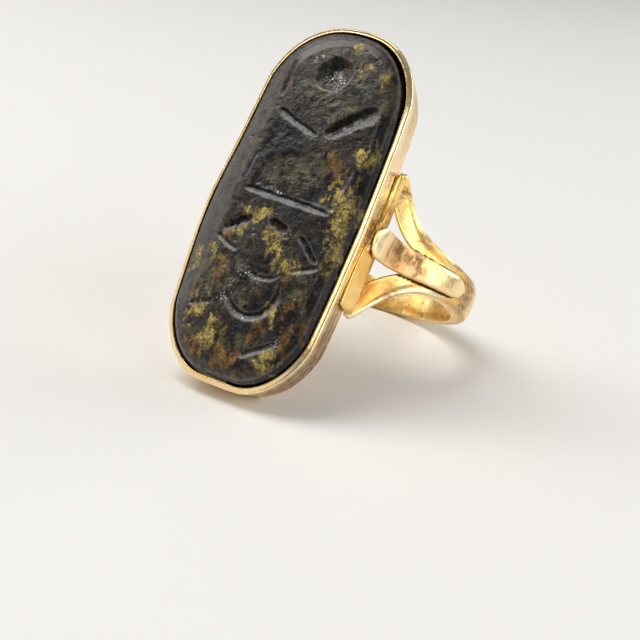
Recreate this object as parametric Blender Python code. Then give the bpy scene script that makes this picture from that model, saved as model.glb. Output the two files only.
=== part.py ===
"""Seal ring: an oblong carved stone tablet in a gold collar, on a split gold shank.

Sizes are millimetres in the ring's own frame: origin at the middle of the collar's rim,
+Z out of the carved face, Y along the tablet and the finger hole, +X to one shoulder.
The ring is then laid down on the lower end of the collar and the foot of its hoop.
"""
import math

import bmesh
import bpy
from mathutils import Matrix, Vector

MM = 0.001
CLEARANCE = 0.04

# collar
HALF_LENGTH = 14.15
HALF_WIDTH = 6.25
END_SEMI_AXIS = 7.8
END_EXPONENT = 2.34
END_FLAT_DEPTH = 0.20
END_FLAT_SOFTNESS = 0.14
WALL_HEIGHT = 2.93
WALL_TAPER = 0.41
BASE_CHAMFER = 0.12
RIM_WIDTH = 0.43
RIM_FALL = 0.26
FLOOR_DEPTH = 2.15
OUTLINE_POINTS = 88

# the hidden side of the collar and stone swells a little over part of its length
SWELL = 0.46
SWELL_CENTRE = -1.9
SWELL_REACH = 5.4

# stone
STONE_GAP = 0.24
STONE_TOP = 0.78
STONE_CROWN = 0.14
STONE_BEVEL = 1.25

# rail soldered along each side of the collar
RAIL_HALF_LENGTH = 5.44
RAIL_OFFSET = -0.23
RAIL_TOP = -2.40
RAIL_RISE = 1.20
RAIL_RISE_REACH = 2.5
RAIL_BOTTOM = -3.42
RAIL_OUT = 6.40
RAIL_IN = 5.50

# hoop
HOOP_CENTRE = -12.5
HOLE_RADIUS = 9.2
SIDE_RADIUS = 10.6
FOOT_RADIUS = 10.3
FOOT_HALF_WIDTH = 1.27
HOOP_STATIONS = 30
REST_FLAT_DEPTH = 0.16
FOOT_FLAT_RISE = 0.46

# shoulders
SHANK_HALF_WIDTH = 1.50
FLARE = 4.22
FLARE_REACH = 2.51
FLARE_POWER = 1.37
FORK_SPREAD = 3.80
FORK_REACH = 3.25
FORK_CLOSE = 0.65
SHOULDER_START = -0.42
SHOULDER_STATIONS = 22
LIP_WIDTH = 0.42
LIP_HEIGHT = 0.17
DISH_DEPTH = 0.12
STRAND_THICKNESS = 0.34
SHANK_OFFSET = 0.10
FORK_OFFSET = -0.08
BAND_OVERLAP = 0.25

# centre strap
STRAP_HALF_WIDTH = 1.20
STRAP_TAPER = 0.052
STRAP_THICKNESS = 0.40
STRAP_LENGTH = 10.1
STRAP_DRIFT = -0.17
STRAP_STATIONS = 28

# profile of the shoulder's outer skin in the XZ plane, from the rail to the side of the hoop
SKIN_X = (5.50, 5.95, 6.70, 7.60, 8.60, 9.50, 10.20, 10.55, SIDE_RADIUS)
SKIN_Z = (-3.00, -3.95, -5.15, -6.20, -7.25, -8.40, -9.80, -11.30, HOOP_CENTRE)

# profile of the strap's underside, from the collar's wall over the rail and down to the shank
STRAP_X = (6.31, 6.43, 6.50, 6.56, 6.72, 7.08, 7.66, 8.66, 9.56, 10.26, 10.61, SIDE_RADIUS + 0.06)
STRAP_Z = (-1.93, -2.30, -2.96, -3.70, -4.55, -5.40, -6.14, -7.19, -8.35, -9.77, -11.28, HOOP_CENTRE)

# strokes of the carving: start x, start y, end x, end y, width, depth
STROKES = (
    (-3.72, 10.40, -3.64, 7.60, 0.70, 0.22),
    (-3.25, 6.48, 0.35, 5.22, 0.55, 0.22),
    (1.05, 5.45, 4.15, 8.10, 1.30, 0.40),
    (-3.58, 3.00, -3.75, 1.10, 0.34, 0.12),
    (-3.45, 0.28, 3.60, -0.02, 0.75, 0.26),
    (-3.70, -3.05, -1.95, -1.75, 0.55, 0.26),
    (-4.10, -3.62, -2.05, -4.38, 0.45, 0.18),
    (-0.45, -1.55, 1.15, -2.10, 0.75, 0.40),
    (2.30, -2.15, 4.05, -3.60, 0.38, 0.28),
    (2.55, -4.80, 4.40, -3.90, 0.36, 0.16),
    (-3.95, -8.98, -2.30, -8.38, 0.40, 0.20),
    (1.40, -11.42, 3.65, -9.88, 0.48, 0.22),
)
CUP_CENTRE = (-0.25, 10.05)
CUP_RADIUS = 1.38
CUP_DEPTH = 0.55
# curved strokes: centre x, centre y, radius, start angle, sweep in degrees, width, depth
ARCS = (
    (0.42, -6.72, 1.98, 200, 190, 0.60, 0.28),
    (0.55, -3.60, 2.15, 226, 88, 0.36, 0.16),
)


def clear_scene():
    for item in list(bpy.data.objects):
        bpy.data.objects.remove(item, do_unlink=True)


def make_material(name, colour, metallic, roughness):
    material = bpy.data.materials.new(name)
    material.use_nodes = True
    shader = material.node_tree.nodes["Principled BSDF"]
    shader.inputs["Base Color"].default_value = (*colour, 1.0)
    shader.inputs["Metallic"].default_value = metallic
    shader.inputs["Roughness"].default_value = roughness
    material.diffuse_color = (*colour, 1.0)
    return material


def smoothstep(low, high, value):
    t = min(max((value - low) / (high - low), 0.0), 1.0)
    return t * t * (3.0 - 2.0 * t)


def build_mesh(name, points, faces):
    mesh = bpy.data.meshes.new(name)
    mesh.from_pydata([tuple(c * MM for c in p) for p in points], [], faces)
    mesh.update()
    return mesh


def loft(rings, middle_start=None, middle_end=None):
    """Skin a list of closed rings and fan both ends shut around a middle point."""
    count = len(rings[0])
    points = [p for ring in rings for p in ring]
    faces = []
    for r in range(len(rings) - 1):
        for i in range(count):
            j = (i + 1) % count
            faces.append((r * count + i, r * count + j, (r + 1) * count + j, (r + 1) * count + i))
    for ring_index, middle in ((0, middle_start), (len(rings) - 1, middle_end)):
        if middle is None:
            middle = tuple(sum(axis) / count for axis in zip(*rings[ring_index]))
        points.append(middle)
        tip = len(points) - 1
        base = ring_index * count
        for i in range(count):
            j = (i + 1) % count
            faces.append((base + j, base + i, tip) if ring_index == 0 else (base + i, base + j, tip))
    return points, faces


def add_object(name, mesh, material, parent, sharp_degrees):
    shape = bmesh.new()
    shape.from_mesh(mesh)
    bmesh.ops.remove_doubles(shape, verts=shape.verts, dist=1e-7)
    bmesh.ops.recalc_face_normals(shape, faces=shape.faces)
    shape.to_mesh(mesh)
    shape.free()
    mesh.materials.clear()
    mesh.materials.append(material)
    mesh.shade_smooth()
    mesh.set_sharp_from_angle(angle=math.radians(sharp_degrees))
    item = bpy.data.objects.new(name, mesh)
    bpy.context.scene.collection.objects.link(item)
    item.parent = parent
    return item


def outline(inset, height, swell=0.0):
    """The collar's outline drawn in by an inset: a stadium with one slightly flattened end.

    swell is the share of the bow on the hidden side that this height has.
    """
    half_width = HALF_WIDTH - inset
    semi_axis = END_SEMI_AXIS - inset
    straight = HALF_LENGTH - END_SEMI_AXIS
    quarter = OUTLINE_POINTS // 4
    flat_at = HALF_LENGTH - END_FLAT_DEPTH - inset
    ring = []
    for k in range(OUTLINE_POINTS):
        side, step = divmod(k, quarter)
        t = (step / quarter) * math.pi / 2.0
        if side % 2 == 1:
            t = math.pi / 2.0 - t
        x = half_width * abs(math.cos(t)) ** (2.0 / END_EXPONENT)
        y = straight * smoothstep(0.0, 0.35, t) + semi_axis * abs(math.sin(t)) ** (2.0 / END_EXPONENT)
        if side in (1, 2):
            x = -x
        if side in (2, 3):
            over = y - flat_at
            y = -(y + flat_at - math.hypot(over, END_FLAT_SOFTNESS)) / 2.0
        if x < 0.0:
            x -= swell * SWELL * math.exp(-((y - SWELL_CENTRE) / SWELL_REACH) ** 2)
        ring.append((x, y, height))
    return ring


def make_collar(material, parent):
    profile = (
        (WALL_TAPER + 0.22, -WALL_HEIGHT - BASE_CHAMFER, 0.0),
        (WALL_TAPER, -WALL_HEIGHT, 0.0),
        (WALL_TAPER * 0.76, -WALL_HEIGHT * 0.785, 0.0),
        (WALL_TAPER * 0.45, -WALL_HEIGHT * 0.5, 0.45),
        (0.07, -RIM_FALL - 0.36, 0.9),
        (0.0, -RIM_FALL - 0.22, 1.0),
        (0.0, -RIM_FALL, 1.0),
        (0.08, -RIM_FALL + 0.08, 1.0),
        (RIM_WIDTH - 0.10, -0.01, 1.0),
        (RIM_WIDTH, -0.04, 1.0),
        (RIM_WIDTH + 0.02, -FLOOR_DEPTH, 0.0),
    )
    rings = [outline(inset, height, swell) for inset, height, swell in profile]
    points, faces = loft(rings)
    return add_object("bezel_collar", build_mesh("bezel_collar", points, faces), material, parent, 35)


def stroke_cutter(path, width, depth):
    """A boat-shaped wedge that follows a path on the stone's face and fades at both ends."""
    rise = 0.45
    rings = []
    last = len(path) - 1
    for k, (x, y) in enumerate(path):
        x0, y0 = path[max(k - 1, 0)]
        x1, y1 = path[min(k + 1, last)]
        along = Vector((x1 - x0, y1 - y0)).normalized()
        across = Vector((-along.y, along.x))
        fade = 0.30 + 0.70 * math.sin(math.pi * (k + 0.25) / (last + 0.5)) ** 0.6
        half = width * 0.5 * fade
        deep = depth * fade
        spread = half * (1.0 + rise / deep)
        level = face_height(x, y)
        rings.append([
            (x, y, level - deep),
            (x + across.x * spread, y + across.y * spread, level + rise),
            (x - across.x * spread, y - across.y * spread, level + rise),
        ])
    return loft(rings)


def face_height(x, y):
    """Height of the stone's low crown above the rim plane."""
    inner_width = HALF_WIDTH - RIM_WIDTH - STONE_GAP - STONE_BEVEL
    inner_length = HALF_LENGTH - RIM_WIDTH - STONE_GAP - STONE_BEVEL
    reach = max(abs(x) / inner_width, abs(y) / inner_length)
    return STONE_TOP + STONE_CROWN * max(0.0, 1.0 - reach ** 2)


def cup_cutter():
    sphere_radius = (CUP_RADIUS ** 2 + CUP_DEPTH ** 2) / (2.0 * CUP_DEPTH)
    level = face_height(*CUP_CENTRE)
    centre_height = level - CUP_DEPTH + sphere_radius
    rings = []
    for k in range(1, 6):
        angle = math.asin(CUP_RADIUS / sphere_radius) * k / 4.0
        radius = sphere_radius * math.sin(angle)
        height = centre_height - sphere_radius * math.cos(angle)
        ring = []
        for i in range(20):
            turn = 2.0 * math.pi * i / 20
            x = CUP_CENTRE[0] + radius * math.cos(turn)
            y = CUP_CENTRE[1] + radius * math.sin(turn)
            ring.append((x, y, height))
        rings.append(ring)
    return loft(rings, middle_start=(CUP_CENTRE[0], CUP_CENTRE[1], level - CUP_DEPTH))


def arc_path(x, y, radius, start, sweep):
    count = 14
    path = []
    for k in range(count + 1):
        angle = math.radians(start + sweep * k / count)
        path.append((x + radius * math.cos(angle), y + radius * math.sin(angle)))
    return path


def straight_path(x0, y0, x1, y1):
    count = 6
    return [(x0 + (x1 - x0) * k / count, y0 + (y1 - y0) * k / count) for k in range(count + 1)]


def make_stone(material, parent):
    base = RIM_WIDTH + STONE_GAP
    rings = [
        outline(base + 0.05, -FLOOR_DEPTH + CLEARANCE),
        outline(base, -0.02, 1.0),
        outline(base - 0.02, 0.26, 1.0),
        outline(base + 0.14, 0.46, 0.9),
        outline(base + 0.55, 0.64, 0.65),
        outline(base + STONE_BEVEL, STONE_TOP, 0.35),
    ]
    inner = rings[-1]
    for share in (0.8, 0.55, 0.28):
        level = STONE_TOP + STONE_CROWN * (1.0 - share ** 2)
        rings.append([(x * share, y * share, level) for x, y, _ in inner])
    points, faces = loft(rings, middle_end=(0.0, 0.0, STONE_TOP + STONE_CROWN))
    stone = add_object("carved_stone", build_mesh("carved_stone", points, faces), material, parent, 40)
    cutters = [cup_cutter()]
    for x0, y0, x1, y1, width, depth in STROKES:
        cutters.append(stroke_cutter(straight_path(x0, y0, x1, y1), width, depth))
    for x, y, radius, start, sweep, width, depth in ARCS:
        cutters.append(stroke_cutter(arc_path(x, y, radius, start, sweep), width, depth))
    for index, (cut_points, cut_faces) in enumerate(cutters):
        name = f"cut_{index}"
        cutter = add_object(name, build_mesh(name, cut_points, cut_faces), material, parent, 40)
        cutter.hide_render = True
        cutter.display_type = "WIRE"
        carve = stone.modifiers.new(f"carve_{index}", "BOOLEAN")
        carve.operation = "DIFFERENCE"
        carve.solver = "EXACT"
        carve.object = cutter
    return stone


def spline_point(xs, zs, s, zero_knot):
    """Point and outward normal of a profile at a chord length measured from one of its knots."""
    knots = [0.0]
    for k in range(len(xs) - 1):
        knots.append(knots[-1] + math.hypot(xs[k + 1] - xs[k], zs[k + 1] - zs[k]))
    t = s + knots[zero_knot]
    span = 0
    while span < len(xs) - 2 and t > knots[span + 1]:
        span += 1
    step = knots[span + 1] - knots[span]
    u = (t - knots[span]) / step
    result = []
    for values in (xs, zs):
        slopes = []
        for k in (span, span + 1):
            before = max(k - 1, 0)
            after = min(k + 1, len(values) - 1)
            slopes.append((values[after] - values[before]) / (knots[after] - knots[before]))
        if values is xs and span + 1 == len(values) - 1:
            slopes[1] = 0.0
        a = values[span]
        b = values[span + 1]
        m0 = slopes[0] * step
        m1 = slopes[1] * step
        place = (2 * u ** 3 - 3 * u ** 2 + 1) * a + (u ** 3 - 2 * u ** 2 + u) * m0
        place += (-2 * u ** 3 + 3 * u ** 2) * b + (u ** 3 - u ** 2) * m1
        slope = (6 * u ** 2 - 6 * u) * a + (3 * u ** 2 - 4 * u + 1) * m0
        slope += (-6 * u ** 2 + 6 * u) * b + (3 * u ** 2 - 2 * u) * m1
        result.append((place, slope))
    (x, dx), (z, dz) = result
    length = math.hypot(dx, dz)
    return Vector((x, z)), Vector((-dz, dx)) / length


def skin_length():
    total = 0.0
    for k in range(1, len(SKIN_X) - 1):
        total += math.hypot(SKIN_X[k + 1] - SKIN_X[k], SKIN_Z[k + 1] - SKIN_Z[k])
    return total


def shank_stations():
    """Stations of one half of the shank from the right rail round the foot to the left rail.

    Each holds the outer skin point, its normal, the thickness, the inner and outer edges,
    how far the section is still a dished strand and how far the shank is off centre.
    """
    full = skin_length()
    right = []
    for k in range(SHOULDER_STATIONS + 1):
        share = k / SHOULDER_STATIONS
        s = SHOULDER_START + (full - SHOULDER_START) * share ** 1.25
        point, normal = spline_point(SKIN_X, SKIN_Z, s, 1)
        reach = math.hypot(point.x, point.y - HOOP_CENTRE)
        thickness = max(STRAND_THICKNESS, reach - HOLE_RADIUS)
        thickness = STRAND_THICKNESS + (thickness - STRAND_THICKNESS) * smoothstep(1.4, 5.0, s)
        outer = SHANK_HALF_WIDTH + FLARE * math.exp(-(max(s, 0.0) / FLARE_REACH) ** FLARE_POWER)
        outer -= 0.10 * smoothstep(0.1, SHOULDER_START, s)
        inner = FORK_SPREAD * math.exp(-s / FORK_REACH) - FORK_CLOSE
        inner = max(inner, -BAND_OVERLAP)
        dished = 1.0 - smoothstep(4.6, 9.0, s)
        shift = FORK_OFFSET + (SHANK_OFFSET - FORK_OFFSET) * smoothstep(1.5, 4.8, s)
        right.append((point, normal, thickness, inner, outer, dished, shift))
    bottom = []
    for k in range(1, HOOP_STATIONS):
        angle = -math.pi * k / HOOP_STATIONS
        low = math.sin(-angle) ** 1.5
        radius = SIDE_RADIUS + (FOOT_RADIUS - SIDE_RADIUS) * low
        normal = Vector((math.cos(angle), math.sin(angle)))
        point = normal * radius + Vector((0.0, HOOP_CENTRE))
        width = SHANK_HALF_WIDTH + (FOOT_HALF_WIDTH - SHANK_HALF_WIDTH) * low
        thickness = radius - HOLE_RADIUS
        shift = SHANK_OFFSET * (1.0 - low)
        bottom.append((point, normal, thickness, -BAND_OVERLAP, width, 0.0, shift))
    left = []
    for point, normal, thickness, inner, outer, dished, shift in reversed(right):
        mirrored = Vector((-point.x, point.y))
        left.append((mirrored, Vector((-normal.x, normal.y)), thickness, inner, outer, dished, shift))
    return right + bottom + left


def strand_section(thickness, inner, outer, dished):
    """Closed section across a strand: (distance from the middle line, height over the skin)."""
    width = outer - inner
    lip = min(LIP_WIDTH, width * 0.4)
    free = smoothstep(0.0, 0.5, inner)
    edge = 0.04 + 0.06 * free
    turn = max(inner + 0.08, 0.03)
    marks = (
        (inner, -thickness + edge, -thickness + edge),
        (inner, -edge, -edge),
        (turn, -0.02 * free, 0.0),
        (turn + (outer - lip - turn) * 0.5, -DISH_DEPTH, -0.03),
        (outer - lip - 0.06, -DISH_DEPTH * 0.6, -0.10),
        (outer - lip * 0.7, LIP_HEIGHT * 0.9, -0.16),
        (outer - lip * 0.25, LIP_HEIGHT, -0.26),
        (outer, LIP_HEIGHT * 0.3, -0.46),
        (outer + 0.02, -thickness * 0.6, -thickness * 0.6),
        (outer - 0.10, -thickness, -thickness + 0.02),
        (turn, -thickness, -thickness),
    )
    return [(y, high * dished + low * (1.0 - dished)) for y, high, low in marks]


def make_shank(material, parent):
    stations = shank_stations()
    bands = []
    for sign in (1.0, -1.0):
        rings = []
        for point, normal, thickness, inner, outer, dished, shift in stations:
            ring = []
            for y, height in strand_section(thickness, inner, outer, dished):
                place = point + normal * height
                ring.append((place.x, sign * y + shift, place.y))
            rings.append(ring)
        bands.append(loft(rings))
    name = "split_shank"
    shank = add_object(name, build_mesh(name, *bands[0]), material, parent, 32)
    other = add_object("other_band", build_mesh("other_band", *bands[1]), material, parent, 32)
    other.hide_render = True
    other.display_type = "WIRE"
    join = shank.modifiers.new("join_bands", "BOOLEAN")
    join.operation = "UNION"
    join.solver = "EXACT"
    join.object = other
    return shank


def rail_section(y, rise):
    """Closed section of the rail; towards the tablet's lower end it may climb up the wall."""
    top = RAIL_TOP + rise * smoothstep(RAIL_RISE_REACH, -RAIL_RISE_REACH, y)
    ridge = -2.45 + (top - RAIL_TOP) * 0.20
    wall_at_top = HALF_WIDTH + top * WALL_TAPER / WALL_HEIGHT + CLEARANCE
    wall_at_base = HALF_WIDTH - WALL_TAPER + CLEARANCE
    under_base = -WALL_HEIGHT - BASE_CHAMFER - CLEARANCE
    return (
        (wall_at_top, top),
        (wall_at_top + 0.08, top - 0.05),
        (RAIL_OUT - 0.07, ridge),
        (RAIL_OUT, ridge - 0.40),
        (RAIL_OUT, RAIL_BOTTOM + 0.28),
        (RAIL_OUT - 0.10, RAIL_BOTTOM + 0.04),
        (RAIL_OUT - 0.24, RAIL_BOTTOM),
        (RAIL_IN + 0.14, RAIL_BOTTOM),
        (RAIL_IN, RAIL_BOTTOM + 0.10),
        (RAIL_IN + 0.02, under_base),
        (wall_at_base, under_base),
    )


def make_rail(side, material, parent):
    middle = (RAIL_OUT - 0.10, (RAIL_TOP + RAIL_BOTTOM) / 2.0 - 0.25)
    rise = RAIL_RISE if side > 0 else 0.0
    stations = [(-1.0, 0.45), (-0.985, 0.85), (-0.95, 1.0)]
    stations += [(k / 10.0, 1.0) for k in range(-5, 8, 2)]
    stations += [(0.94, 1.0), (0.98, 0.85), (1.0, 0.45)]
    rings = []
    for place, size in stations:
        y = RAIL_OFFSET + place * RAIL_HALF_LENGTH
        ring = []
        for x, z in rail_section(y, rise):
            across = middle[0] + (x - middle[0]) * size
            ring.append((side * across, y, middle[1] + (z - middle[1]) * size))
        rings.append(ring)
    points, faces = loft(rings)
    name = "side_rail_right" if side > 0 else "side_rail_left"
    return add_object(name, build_mesh(name, points, faces), material, parent, 50)


def strap_half_width(s):
    width = STRAP_HALF_WIDTH - STRAP_TAPER * max(s - 1.4, 0.0)
    near = s / 0.80
    if near < 1.0:
        width *= 0.56 + 0.44 * math.sin(math.pi / 2.0 * max(near, 0.0))
    far = (STRAP_LENGTH - s) / 1.25
    if far < 1.0:
        width *= 0.12 + 0.88 * math.sqrt(max(0.0, 1.0 - (1.0 - far) ** 2))
    return width


def make_strap(side, material, parent):
    rings = []
    for k in range(STRAP_STATIONS + 1):
        share = k / STRAP_STATIONS
        s = STRAP_LENGTH * (share - 0.55 * math.sin(2.0 * math.pi * share) / (2.0 * math.pi))
        point, normal = spline_point(STRAP_X, STRAP_Z, s, 0)
        thick = STRAP_THICKNESS - 0.14 * smoothstep(STRAP_LENGTH - 1.5, STRAP_LENGTH, s)
        thick -= 0.22 * smoothstep(1.0, 0.0, s)
        half = strap_half_width(s)
        drift = STRAP_DRIFT * math.sin(math.pi * (0.12 + 0.86 * s / STRAP_LENGTH)) ** 0.7
        edge = min(0.12, half * 0.4)
        section = (
            (-half + edge * 0.4, 0.0),
            (half - edge * 0.4, 0.0),
            (half, thick * 0.35),
            (half - edge * 0.2, thick * 0.80),
            (half - edge, thick * 0.96),
            (half * 0.35, thick + 0.03),
            (-half * 0.35, thick + 0.03),
            (-half + edge, thick * 0.96),
            (-half + edge * 0.2, thick * 0.80),
            (-half, thick * 0.35),
        )
        ring = []
        for y, height in section:
            place = point + normal * height
            ring.append((side * place.x, y + drift, place.y))
        rings.append(ring)
    points, faces = loft(rings)
    name = "centre_strap_right" if side > 0 else "centre_strap_left"
    return add_object(name, build_mesh(name, points, faces), material, parent, 40)


def rest_plane():
    """Lean angle and the resting line through the collar's lower end and the hoop's foot."""
    collar_point = Vector((-(HALF_LENGTH - END_FLAT_DEPTH - WALL_TAPER), -WALL_HEIGHT))
    foot_point = Vector((-FOOT_HALF_WIDTH, HOOP_CENTRE - FOOT_RADIUS + FOOT_FLAT_RISE))
    span = foot_point - collar_point
    lean = math.atan2(-span.y, span.x)
    up = Vector((math.sin(lean), math.cos(lean)))
    return lean, up, collar_point


def cut_rest_flat(item, depth, up, collar_point):
    """Slice a small flat where the piece meets the surface it rests on."""
    shape = bmesh.new()
    depsgraph = bpy.context.evaluated_depsgraph_get()
    shape.from_object(item, depsgraph)
    item.modifiers.clear()
    place = Vector((0.0, collar_point.x, collar_point.y)) * MM
    direction = Vector((0.0, up.x, up.y))
    place += direction * depth * MM
    geometry = list(shape.verts) + list(shape.edges) + list(shape.faces)
    cut = bmesh.ops.bisect_plane(
        shape, geom=geometry, dist=1e-9, plane_co=place, plane_no=-direction, clear_outer=True)
    rim = [edge for edge in cut["geom_cut"] if isinstance(edge, bmesh.types.BMEdge)]
    bmesh.ops.holes_fill(shape, edges=rim, sides=0)
    bmesh.ops.triangulate(shape, faces=[face for face in shape.faces if len(face.verts) > 4])
    shape.to_mesh(item.data)
    shape.free()
    item.data.shade_smooth()
    item.data.set_sharp_from_angle(angle=math.radians(32))


def extent_along_y(turn):
    """Reach of all the pieces along Y once they are turned, so the ring can be centred."""
    depsgraph = bpy.context.evaluated_depsgraph_get()
    reach = []
    for item in bpy.context.scene.objects:
        if item.type != "MESH" or item.hide_render:
            continue
        shape = item.evaluated_get(depsgraph)
        mesh = shape.to_mesh()
        reach.extend((turn @ vertex.co).y for vertex in mesh.vertices)
        shape.to_mesh_clear()
    return min(reach), max(reach)


def main():
    clear_scene()
    gold = make_material("gold", (0.83, 0.50, 0.16), 1.0, 0.24)
    stone = make_material("stone", (0.055, 0.048, 0.038), 0.0, 0.32)
    pose = bpy.data.objects.new("ring_pose", None)
    bpy.context.scene.collection.objects.link(pose)
    collar = make_collar(gold, pose)
    make_stone(stone, pose)
    shank = make_shank(gold, pose)
    for side in (1.0, -1.0):
        make_rail(side, gold, pose)
        make_strap(side, gold, pose)
    lean, up, collar_point = rest_plane()
    bpy.context.view_layer.update()
    for item in (collar, shank):
        cut_rest_flat(item, REST_FLAT_DEPTH * 0.5, up, collar_point)
    bpy.data.objects.remove(bpy.data.objects["other_band"], do_unlink=True)
    bpy.context.view_layer.update()
    ground = (collar_point.dot(up) + REST_FLAT_DEPTH * 0.5) * MM
    laid_down = Matrix.Rotation(lean, 4, "X")
    low_y, high_y = extent_along_y(laid_down)
    pose.matrix_world = Matrix.Translation((0.0, -(low_y + high_y) / 2.0, -ground)) @ laid_down


main()
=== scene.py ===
"""Looks for the seal ring: finer meshes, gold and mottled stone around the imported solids.

Shapes are worked out in millimetres in the ring's own frame: origin at the middle of the
collar's rim, +Z out of the carved face, Y along the tablet, +X to one shoulder. Each finished
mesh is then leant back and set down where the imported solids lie.
"""

import math
import random
from collections import namedtuple

import bmesh
import bpy
import numpy as np
from mathutils import Matrix, Vector, noise


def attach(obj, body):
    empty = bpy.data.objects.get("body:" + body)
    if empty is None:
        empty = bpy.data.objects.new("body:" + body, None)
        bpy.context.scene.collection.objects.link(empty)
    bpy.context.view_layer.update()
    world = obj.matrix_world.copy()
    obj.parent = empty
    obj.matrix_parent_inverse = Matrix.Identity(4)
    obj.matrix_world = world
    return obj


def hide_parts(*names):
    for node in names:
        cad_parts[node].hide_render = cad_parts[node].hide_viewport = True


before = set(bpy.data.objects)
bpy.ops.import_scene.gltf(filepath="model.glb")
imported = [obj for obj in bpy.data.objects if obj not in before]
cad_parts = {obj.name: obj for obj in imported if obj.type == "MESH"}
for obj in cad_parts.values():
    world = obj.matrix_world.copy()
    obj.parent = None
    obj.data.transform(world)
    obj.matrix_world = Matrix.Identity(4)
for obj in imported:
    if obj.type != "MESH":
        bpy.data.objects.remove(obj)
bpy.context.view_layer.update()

MM = 0.001
LEAN = math.radians(57.7)
PLACE = Vector((0.0, -6.139, 12.931)) * MM
TO_WORLD = Matrix.Translation(PLACE) @ Matrix.Rotation(LEAN, 4, "X") @ Matrix.Scale(MM, 4)

# collar
HALF_LENGTH = 14.15
HALF_WIDTH = 6.25
END_SEMI_AXIS = 7.8
END_EXPONENT = 2.34
END_FLAT_DEPTH = 0.2
END_FLAT_SOFTNESS = 0.14
WALL_HEIGHT = 2.93
WALL_TAPER = 0.41
INNER_WALL_INSET = 0.33
COLLAR_OUTLINE_POINTS = 600
# the hidden side swells a little over part of its length
SWELL = 0.46
SWELL_CENTRE = -1.9
SWELL_REACH = 5.4

# stone
STONE_INSET = 0.65
STONE_EDGE = 0.14
STONE_TOP = 0.78
STONE_CROWN = 0.14
STONE_BEVEL = 1.27
STONE_GRID = 0.062
# height of the stone's bevel at shares of the way in from its edge
BEVEL_SHARES = (0.0, 0.05, 0.13, 0.25, 0.55, 0.9, 0.97, 1.0)
BEVEL_HEIGHTS = (STONE_EDGE, 0.25, 0.36, 0.46, 0.62, 0.75, 0.775, STONE_TOP)
# levels down the stone's side: height, share of the swell, how far it is drawn onto the outline
STONE_SIDE_LEVELS = ((0.1, 1.0, 0.35), (-0.05, 1.0, 1.0), (-1.6, 0.0, 1.0))
STONE_SPAN_X = (-6.3, 5.8)
STONE_SPAN_Y = (-13.5, 13.7)
STONE_OUTLINE_POINTS = 480

# rail
RAIL_START = -5.67
RAIL_END = 5.21
RAIL_TOP = -2.4
RAIL_RISE = 1.2
RAIL_RISE_REACH = 2.5
RAIL_RIDGE = -2.45
RAIL_MIDDLE = -2.9
RAIL_BOTTOM = -3.42
RAIL_OUT = 6.4
RAIL_IN = 5.5
RAIL_STATIONS = 70
RAIL_END_ROUND = 0.45
RAIL_LUMPS = 16

# hoop and shoulders
SIDES = {1.0: "right", -1.0: "left"}
HOOP_CENTRE = -12.5
HOLE_RADIUS = 9.2
SIDE_RADIUS = 10.6
FOOT_RADIUS = 10.3
FOOT_HALF_WIDTH = 1.27
SHANK_HALF_WIDTH = 1.5
FLARE = 4.22
FLARE_REACH = 2.51
FLARE_POWER = 1.37
FORK_SPREAD = 3.8
FORK_REACH = 3.25
FORK_CLOSE = 0.65
SHOULDER_START = -0.42
LIP_WIDTH = 0.5
LIP_HEIGHT = 0.045
DISH_DEPTH = 0.07
STRAND_THICKNESS = 0.34
SHANK_OFFSET = 0.1
FORK_OFFSET = -0.08
SKIN_X = (5.5, 5.95, 6.7, 7.6, 8.6, 9.5, 10.2, 10.55, SIDE_RADIUS)
SKIN_Z = (-3.0, -3.95, -5.15, -6.2, -7.25, -8.4, -9.8, -11.3, HOOP_CENTRE)
SHOULDER_STATIONS = 110
FOOT_STATIONS = 100

# centre strap
STRAP_HALF_WIDTH = 1.2
STRAP_TAPER = 0.052
STRAP_THICKNESS = 0.4
STRAP_LENGTH = 10.1
STRAP_DRIFT = -0.17
STRAP_X = (6.31, 6.43, 6.5, 6.56, 6.72, 7.08, 7.66, 8.66, 9.56, 10.26, 10.61, SIDE_RADIUS + 0.06)
STRAP_Z = (-1.93, -2.3, -2.96, -3.7, -4.55, -5.4, -6.14, -7.19, -8.35, -9.77, -11.28, HOOP_CENTRE)
STRAP_STATIONS = 120


# ---- helpers

def unit(value):
    """Keep values between 0 and 1."""
    return np.clip(value, 0.0, 1.0)


def ramp(low, high, value):
    """Soft rise from 0 at one value to 1 at another."""
    t = unit((value - low) / (high - low))
    return t * t * (3.0 - 2.0 * t)


def eased(low, high, value):
    """The same rise for one number."""
    return float(ramp(low, high, value))


def wave(x, y, z, scale, seed):
    """Smooth noise of about -1 to 1 at a place in millimetres; scale is its wavelength."""
    return noise.noise(Vector((x / scale + seed, y / scale - seed, z / scale + 0.37 * seed)))


def rounded(points, rounds, closed):
    """Cut every corner of a polyline again and again until it is smooth."""
    for _ in range(rounds):
        result = [] if closed else [points[0]]
        for a, b in zip(points, points[1:] + points[:1] if closed else points[1:]):
            result.append(tuple(p * 0.75 + q * 0.25 for p, q in zip(a, b)))
            result.append(tuple(p * 0.25 + q * 0.75 for p, q in zip(a, b)))
        if not closed:
            result.append(points[-1])
        points = result
    return points


def sealed(shape):
    """Weld the points that meet and turn every face outward."""
    bmesh.ops.remove_doubles(shape, verts=shape.verts, dist=1e-4)
    bmesh.ops.recalc_face_normals(shape, faces=shape.faces)
    return shape


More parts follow.
